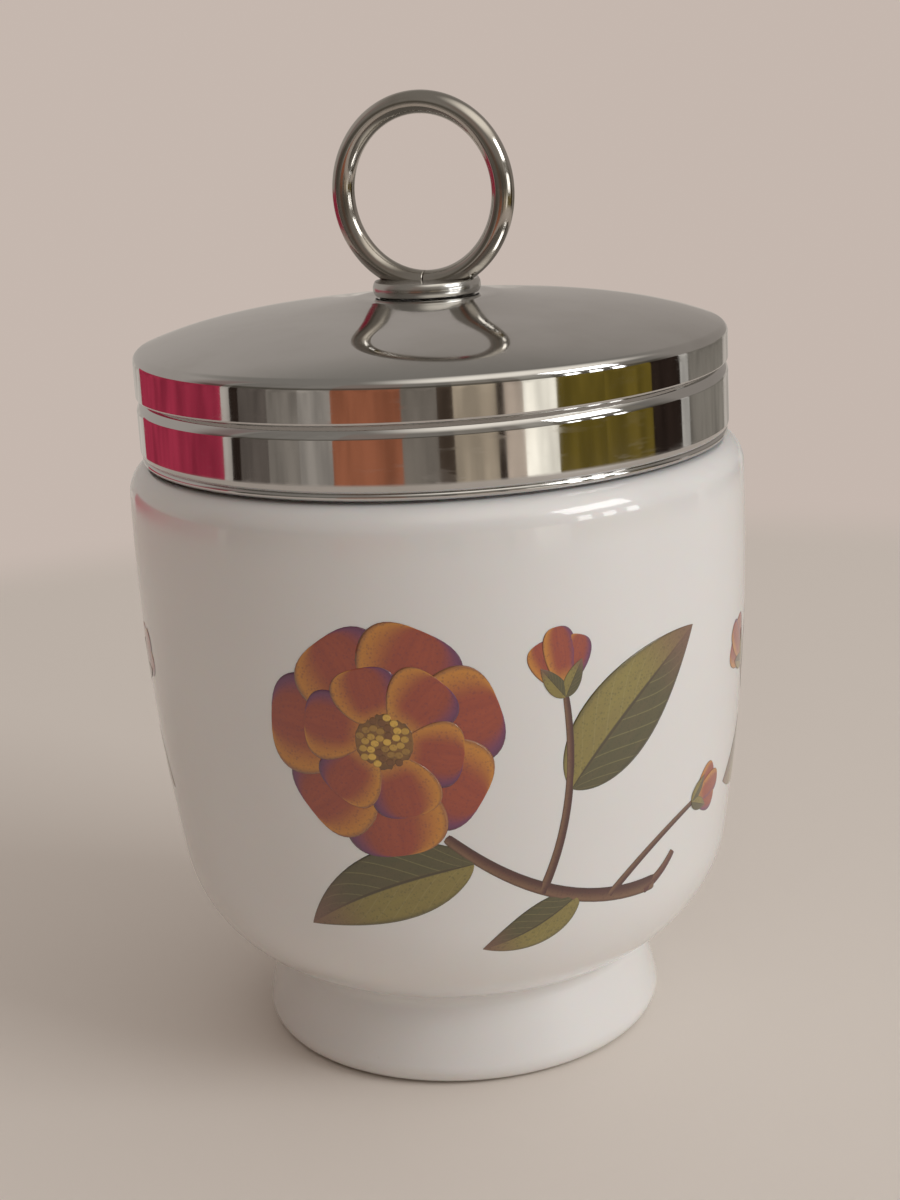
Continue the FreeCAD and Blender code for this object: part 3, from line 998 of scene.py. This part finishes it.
stud_chrome = metal("turned_stud_chrome", (0.54, 0.53, 0.51, 1), (0.46, 0.44, 0.41, 1),
                    (0.20, 0.08, 0.05, 0.2), 0.01 * mm)
flat_radius = collar_radius - collar_edge
saddle_half = wire_radius + saddle_gap
cap_rows = flat_radius * np.sin(np.linspace(-np.pi / 2, np.pi / 2, 41))[1:-1]
cap_rows = np.sort(np.concatenate([
    cap_rows[abs(cap_rows) > saddle_half + saddle_margin],
    np.linspace(-saddle_half, saddle_half, 25),
    [-saddle_half - saddle_edge, saddle_half + saddle_edge],
]))
cap_share = np.sin(np.linspace(-np.pi / 2, np.pi / 2, 49))
cap_y = cap_rows[:, None] + 0 * cap_share
cap_x = np.sqrt(flat_radius ** 2 - cap_y ** 2) * cap_share
across = np.sqrt(np.clip(saddle_half ** 2 - cap_y ** 2, 0, None))
saddle_z = ring_centre_z - np.sqrt((ring_radius + across) ** 2 - cap_x ** 2)
in_saddle = abs(cap_y) < saddle_half + 1e-6
cap_z = np.where(in_saddle, np.minimum(saddle_z, collar_top_z), collar_top_z)
cap = np.stack([cap_x, cap_y, cap_z], axis=2).reshape(-1, 3)

rows, columns = cap_x.shape
index = np.arange(rows * columns).reshape(rows, columns)
edge_loop = np.concatenate([index[:, -1], index[-1, -2:0:-1], index[::-1, 0], index[0, 1:-1]])
edge_turn = np.arctan2(cap[edge_loop, 1], cap[edge_loop, 0])
half_collar = collar_height / 2
bulge_reach = (half_collar ** 2 + collar_edge ** 2) / (2 * collar_edge)
bulge_angle = math.degrees(math.asin(half_collar / bulge_reach))
bulge_centre = collar_radius - bulge_reach + 1j * (collar_low_z + half_collar)
head_rim = head_radius + 1j * head_top_z
stud_line = outline(
    arc(bulge_centre, bulge_reach, bulge_angle, -bulge_angle, 0.1),
    stud_foot_radius + 1j * collar_low_z,
    stud_foot_radius + 1j * boss_top_z,
    shank_radius + 1j * boss_top_z,
    shank_radius + 1j * head_top_z,
    head_rim,
    bend(1j * stud_low.z, 1 + 0j, head_rim)[::-1],
)[1:-1, None]
side_points = from_axis(stud_line.real, edge_turn, stud_line.imag).reshape(-1, 3)
stud_points = np.concatenate([cap, side_points, [[0, 0, stud_low.z]]])
around = len(edge_loop)
first_ring = len(cap) + np.arange(around)
last_ring = first_ring + (len(stud_line) - 1) * around
joining = np.stack([first_ring, np.roll(first_ring, -1), np.roll(edge_loop, -1), edge_loop], axis=1)
stud_quads = np.concatenate([grid_quads(rows, columns, close_columns=False), joining,
                             grid_quads(len(stud_line), around)[:, ::-1] + len(cap)])
tip = fan(last_ring, len(stud_points) - 1)[:, ::-1]
stud = make_piece("ring_stud_turned", stud_points, stud_quads, tip, stud_chrome, "lid",
                  "stud_chrome")
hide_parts("ring_stud")

# %% [markdown]
# Under the lid a plain steel washer spreads the riveted head's pull over the thin sheet. It is a
# short tube, and its turning marks are rings of noise about the axis, laid as a bump.

# %% Washer
washer_low, washer_high = (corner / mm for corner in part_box("rivet_washer"))
washer_hole = shank_radius + 0.05
washer_edge = 0.08
washer_steel, tree, shader = new_material("turned_washer_steel")
place = object_place(tree)
reach = vector_maths(tree, "LENGTH", vector_maths(tree, "MULTIPLY", place, (1, 1, 0)))
turning = add(tree, "ShaderNodeTexNoise", {"W": reach, "Scale": 9000.0, "Detail": 2.0},
              noise_dimensions="1D").outputs["Fac"]
stain = ramp(tree, noise(tree, place, 320.0, 3.0), 0.5, 0.75)
wire(tree, shader, {
    "Metallic": 1.0,
    "Base Color": blend_colour(tree, stain, (0.60, 0.59, 0.57, 1), (0.42, 0.38, 0.33, 1)),
    "Roughness": ramp(tree, turning, 0.3, 0.7, 0.24, 0.38),
    "Normal": bump(tree, turning, 0.008 * mm),
})
corners = np.array([washer_hole + 1j * washer_high.z, washer_high.x + 1j * washer_high.z,
                    washer_high.x + 1j * washer_low.z, washer_hole + 1j * washer_low.z])
back, ahead = np.roll(corners, 1) - corners, np.roll(corners, -1) - corners
broken = np.stack([corners + washer_edge * edge / abs(edge) for edge in (back, ahead)], axis=1)
washer_line = outline(broken.ravel())
washer = turned_piece("rivet_washer_turned", washer_line.real, washer_line.imag, 96, washer_steel,
                      "washer", "washer_steel", ring=True)
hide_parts("rivet_washer")

# %% [markdown]
# The cup carries printed decoration that was fired on to the glaze. Such a print is a transfer:
# thin films of ceramic ink that follow the wall and stand a few hundredths of a millimetre proud.
# It could be painted into the porcelain's shader, but separate films keep crisp edges at any
# distance and can each have their own ink. The design here is a generic one: an open blossom with
# leaves and buds on a curved twig, and smaller sprigs round the sides. It is drawn flat, in mm
# across and up, again as complex numbers, and then wrapped round the wall.

# %% Wrapping a drawing round the cup
front_turn = camera_turn - math.pi / 2
film = 0.014
film_sides = 20
film_turn = np.arange(film_sides) * 2 * np.pi / film_sides


def on_wall(drawn, lift):
    """A drawn point on the cup: its angle is the distance across over the body's radius, and its
    radius is that of the wall's or the bowl's arc at that height, grown by the lift."""
    height = drawn.imag
    on_side = wall_centre.real + np.sqrt((wall_curve_radius + lift) ** 2 - (height - widest_z) ** 2)
    below = np.clip(bowl_centre.imag - height, None, bowl_radius * 0.95)
    on_bowl = bowl_centre.real + np.sqrt((bowl_radius + lift) ** 2 - below ** 2)
    radius = np.where(height > bowl_top_z, on_side, on_bowl)
    return from_axis(radius, front_turn + drawn.real / body_radius, height)


def eased(count):
    """Shares from 0 to 1 that lie closer together near both ends."""
    return (1 - np.cos(np.linspace(0, np.pi, count))) / 2


def bow(start, middle, end, count):
    """Points of a quadratic Bezier curve."""
    share = eased(count)
    return (1 - share) ** 2 * start + 2 * share * (1 - share) * middle + share ** 2 * end


def taper(count, rise, fall):
    """A width that grows as a power of the way along and shrinks as a power of what is left."""
    width = eased(count) ** rise * (1 - eased(count)) ** fall
    return width / width.max()


def film_form(path, half_width, layer, tilt=0.0, tone=0.5):
    """One thin closed film: a lens-shaped section carried along a drawn path.

    Round the section, the cosine of an angle gives the place across and its sine the height.
    """
    ahead = np.gradient(path)
    across = 1j * ahead / abs(ahead) * half_width
    drawn = path[1:-1, None] + across[1:-1, None] * np.cos(film_turn)
    lift = layer + tilt * np.cos(film_turn) + film * np.sin(film_turn) + 0 * drawn.real
    poles = on_wall(path[[0, -1]], layer + np.zeros(2))
    points = np.concatenate([on_wall(drawn, lift).reshape(-1, 3), poles])
    along = np.cumsum(abs(np.diff(path, prepend=path[0])))
    u = np.concatenate([np.repeat(along[1:-1] / along[-1], film_sides), [0, 1]])
    v = np.concatenate([np.tile((np.cos(film_turn) + 1) / 2, len(drawn)), [0.5, 0.5]])
    faces = face_outward(points, *tube_faces(len(drawn), film_sides))
    return points, *faces, np.stack([u, v], axis=1), np.full(len(points), tone)


def film_piece(name, forms, material):
    """Join films into one piece, with their own UV map and a tone that varies between films."""
    points, quads, ends, flat, tones = zip(*forms)
    starts = np.cumsum([0] + [len(part) for part in points[:-1]])
    quads, ends = (np.concatenate([part + start for part, start in zip(parts, starts)])
                   for parts in (quads, ends))
    piece = make_piece(name, np.concatenate(points), quads, ends, material, "cup", "porcelain")
    corner_points = np.empty(len(piece.data.loops), dtype=np.int32)
    piece.data.loops.foreach_get("vertex_index", corner_points)
    corner_places = np.concatenate(flat)[corner_points].astype(np.float32)
    piece.data.uv_layers.new(name="along_and_across").data.foreach_set("uv", corner_places.ravel())
    tone = piece.data.attributes.new("tone", "FLOAT", "POINT")
    tone.data.foreach_set("value", np.concatenate(tones).astype(np.float32))


# %% [markdown]
# The inks share one printed look: flat colour broken by fine dots, darker towards an outline. One
# node group makes it from the film's own UV map, where the first number runs along a petal or
# leaf and the second across it. Each ink mixes its own colours along and across before the group
# adds dots and outline.

# %% Printed ink
def film_place(tree):
    """The place along and across a film, from its UV map."""
    return split(tree, add(tree, "ShaderNodeUVMap", uv_map="along_and_across").outputs[0])[:2]


ink, given, result = new_group(
    "printed_ink", {"Colour": (0.5, 0.2, 0.1, 1.0), "Line Colour": (0.05, 0.03, 0.02, 1.0),
                    "Line": 0.6, "Dots": 0.35, "Outline From": 0.8},
    {"Colour": "Color"})
place = object_place(ink)
to_side = away_from(ink, times(ink, film_place(ink)[1], 2.0), 1.0)
edge = ramp(ink, to_side, given["Outline From"], 1.0)
dots = add(ink, "ShaderNodeTexVoronoi", {"Vector": place, "Scale": 3600.0}).outputs["Distance"]
dark_dots = times(ink, ramp(ink, dots, 0.55, 0.2), given["Dots"])
grain = ramp(ink, noise(ink, place, 2600.0, 2.0), 0.35, 0.65)
wire(ink, result, {"Colour": layered(
    ink, given["Colour"], (times(ink, dark_dots, grain), given["Line Colour"]),
    (times(ink, edge, given["Line"]), given["Line Colour"]))})


def ink_material(name, paint, line_colour, outline_from):
    """A glossy fired ink. The paint is a function that returns a colour from u, v and tone."""
    material, tree, shader = new_material(name)
    u, v = film_place(tree)
    tone = add(tree, "ShaderNodeAttribute", attribute_name="tone").outputs["Fac"]
    printed = add(tree, "ShaderNodeGroup", {"Colour": paint(tree, u, v, tone),
                                            "Line Colour": line_colour,
                                            "Outline From": outline_from}, node_tree=ink)
    surface = add(tree, "ShaderNodeGroup", node_tree=glaze)
    wire(tree, shader, {
        "Base Color": printed.outputs["Colour"],
        "Roughness": 0.38,
        "Coat Weight": 1.0,
        "Coat Roughness": 0.06,
        "Coat IOR": 1.5,
        "Normal": bump(tree, surface.outputs["Height"], glaze_wave_height),
    })
    return material


def streaks(tree, u, v, across, along):
    """Noise drawn out along a petal or leaf."""
    return noise(tree, join(tree, times(tree, u, along), times(tree, v, across)), 1.0, 2.0)


def petal_paint(tree, u, v, tone):
    """Gold at the base, rust red towards the tip, one side gold and the other purple."""
    red = layered(tree, (0.42, 0.08, 0.032, 1),
                  (streaks(tree, u, v, 16.0, 2.0), (0.28, 0.045, 0.028, 1)),
                  (ramp(tree, v, 0.62, 1.0), (0.62, 0.26, 0.035, 1)),
                  (ramp(tree, v, 0.26, 0.0), (0.15, 0.04, 0.13, 1)))
    gold = blend_colour(tree, tone, (0.62, 0.30, 0.045, 1), (0.52, 0.18, 0.03, 1))
    return blend_colour(tree, ramp(tree, u, 0.08, 0.42), gold, red)


def leaf_paint(tree, u, v, tone):
    """A dark and a light olive half, a dark midrib, slanting pale veins and a brownish tip."""
    worn = times(tree, streaks(tree, u, v, 9.0, 3.0), 0.55)
    from_rib = away_from(tree, v, 0.5)
    slant = maths(tree, "SUBTRACT", times(tree, u, 9.0), times(tree, from_rib, 5.0))
    stripes = away_from(tree, maths(tree, "FRACT", slant), 0.5)
    return layered(tree, (0.072, 0.078, 0.028, 1),
                   (ramp(tree, v, 0.46, 0.54), (0.30, 0.25, 0.055, 1)),
                   (worn, (0.17, 0.11, 0.05, 1)),
                   (times(tree, ramp(tree, stripes, 0.07, 0.0), 0.45), (0.34, 0.30, 0.11, 1)),
                   (ramp(tree, from_rib, 0.03, 0.01), (0.07, 0.05, 0.02, 1)),
                   (ramp(tree, u, 0.6, 1.0, 0.0, 0.85), (0.21, 0.10, 0.07, 1)))


def twig_paint(tree, u, v, tone):
    """Brown bark with a lit upper side and reddish joints."""
    return layered(tree, (0.06, 0.025, 0.018, 1),
                   (ramp(tree, v, 0.2, 0.85), (0.22, 0.13, 0.065, 1)),
                   (times(tree, streaks(tree, u, v, 3.0, 12.0), tone), (0.16, 0.03, 0.03, 1)))


def seed_paint(tree, u, v, tone):
    """Golden seeds, some of them dark."""
    return blend_colour(tree, tone, (0.74, 0.46, 0.08, 1), (0.20, 0.08, 0.02, 1))


petal_ink = ink_material("rust_petal_ink", petal_paint, (0.12, 0.03, 0.05, 1), 0.86)
leaf_ink = ink_material("olive_leaf_ink", leaf_paint, (0.05, 0.045, 0.02, 1), 0.84)
twig_ink = ink_material("brown_twig_ink", twig_paint, (0.05, 0.02, 0.015, 1), 0.6)
seed_ink = ink_material("golden_seed_ink", seed_paint, (0.10, 0.04, 0.01, 1), 0.6)
print("ink group nodes", len(ink.nodes))

# %% Motif parts
petals, leaves, twigs, seeds = [], [], [], []
twig_layer = 0.012
golden_angle = 137.5


def sway_path(place, root, tip, sway, count):
    """A path from root to tip, put in its place and bowed sideways by the sway."""
    root, tip = place(root), place(tip)
    return bow(root, (root + tip) / 2 + 1j * (tip - root) * sway, tip, count)


def petal(place, root, tip, half_width, layer, sway=0.0, tone=0.5):
    """A round-ended petal."""
    path = sway_path(place, root, tip, sway, 26)
    petals.append(film_form(path, half_width * taper(26, 0.75, 0.36), layer, 0.008, tone))


def leaf(place, root, tip, half_width, sway, layer=0.006):
    """A pointed leaf, widest a little before its middle."""
    path = sway_path(place, root, tip, sway, 34)
    leaves.append(film_form(path, half_width * taper(34, 0.62, 0.95), layer))


def twig(place, start, middle, end, thick, thin, tone=0.5):
    """A stem that narrows from thick to thin, with round ends."""
    share = np.linspace(0, 1, 30)
    ends = np.sqrt(np.clip(1 - (2 * share - 1) ** 14, 0, 1))
    path = bow(place(start), place(middle), place(end), 30)
    twigs.append(film_form(path, (thick + (thin - thick) * share) * ends, twig_layer, 0.0, tone))


def dot(centre, radius, layer, tone):
    """A small round film."""
    cosine = np.cos(np.linspace(np.pi, 0, 10))
    width = radius * np.sqrt(np.clip(1 - cosine ** 2, 0, 1))
    seeds.append(film_form(centre + radius * cosine, width, layer, 0.0, tone))


def blossom(place, centre, radius, lean):
    """Two rings of petals about a dark disc with seeds that are spaced by the golden angle."""
    for ring, count, share in ((0, 7, 1.0), (1, 6, 0.68)):
        for index in range(count):
            angle = lean + 360 * (index + 0.5 * ring) / count
            length = radius * share * (1 + 0.05 * math.sin(3 * index + ring))
            petal(place, polar(centre, radius * 0.12, angle), polar(centre, length, angle + 5),
                  length * 0.44, 0.026 + 0.03 * ring, 0.05 * math.sin(2 * index),
                  0.2 + 0.6 * (index % 3) / 2)
    dot(place(centre), radius * 0.25, 0.066, 0.9)
    count = 34
    for index in range(count):
        reach = radius * 0.22 * math.sqrt((index + 0.5) / count)
        seed = place(polar(centre, reach, golden_angle * index))
        dot(seed, radius * 0.034, 0.085, (index % 4) / 3)


def bud(place, centre, size, angle):
    """Three closed petals in a small cup of two leaves."""
    for spread, length, layer in ((-24, 1.0, 0.012), (24, 1.0, 0.012), (0, 1.15, 0.026)):
        tip = polar(centre, size * length, angle + spread)
        petal(place, centre, tip, size * 0.3, layer, 0.0, 0.3)
    for spread in (-38, 38):
        tip = polar(centre, size * 0.62, angle + spread)
        leaf(place, polar(centre, size * 0.12, angle + 180), tip, size * 0.16, 0.0, 0.04)


def spray(place):
    """The large motif: a blossom on a curved twig with three leaves and two buds."""
    twig(place, 21.5 + 21.0j, 9.0 + 20.5j, -1.0 + 29.6j, 0.85, 0.5)
    twig(place, 20.0 + 20.6j, 22.5 + 21.4j, 24.0 + 23.4j, 0.6, 0.4, tone=0.9)
    twig(place, 8.0 + 23.0j, 12.0 + 31.0j, 10.5 + 42.0j, 0.5, 0.3)
    twig(place, 15.5 + 21.2j, 21.0 + 26.0j, 27.0 + 27.5j, 0.45, 0.28)
    leaf(place, 11.0 + 33.0j, 25.5 + 45.5j, 4.3, 0.10)
    leaf(place, 1.5 + 26.8j, -15.5 + 20.0j, 3.7, -0.12)
    leaf(place, 12.0 + 22.3j, 2.0 + 17.8j, 2.1, 0.10)
    blossom(place, -6.0 + 39.0j, 10.8, 12)
    bud(place, 10.4 + 42.5j, 5.2, 96)
    bud(place, 27.2 + 27.6j, 4.4, 10)


def sprig(place):
    """The small motif: two buds and three leaves on a short twig."""
    twig(place, -9.5 + 27.0j, -1.0 + 30.0j, 8.5 + 40.0j, 0.65, 0.35)
    twig(place, -1.5 + 30.5j, -3.5 + 36.0j, -2.0 + 41.5j, 0.4, 0.28)
    leaf(place, -5.0 + 28.6j, -13.5 + 38.0j, 2.6, -0.12)
    leaf(place, 1.0 + 32.0j, 12.5 + 28.5j, 2.9, 0.12)
    leaf(place, 4.5 + 35.6j, 2.5 + 45.5j, 2.0, 0.08)
    bud(place, 8.4 + 40.0j, 5.0, 48)
    bud(place, -2.0 + 41.6j, 4.2, 100)


def mirrored_at(across):
    """A place that mirrors a drawing sideways, with its own middle at a distance across."""
    return lambda drawn: across - drawn.real + 1j * drawn.imag


half_way_round = math.pi * body_radius
spray(lambda drawn: drawn)
spray(mirrored_at(half_way_round))
sprig(lambda drawn: drawn - 50.0)
sprig(mirrored_at(47.0 - 1.5j))

# %% Decoration pieces
film_piece("decor_leaves", leaves, leaf_ink)
film_piece("decor_twigs", twigs, twig_ink)
film_piece("decor_petals", petals, petal_ink)
film_piece("decor_seeds", seeds, seed_ink)
print("films", len(leaves) + len(twigs) + len(petals) + len(seeds))

# %% [markdown] View transform

scene.view_settings.view_transform = "Standard"
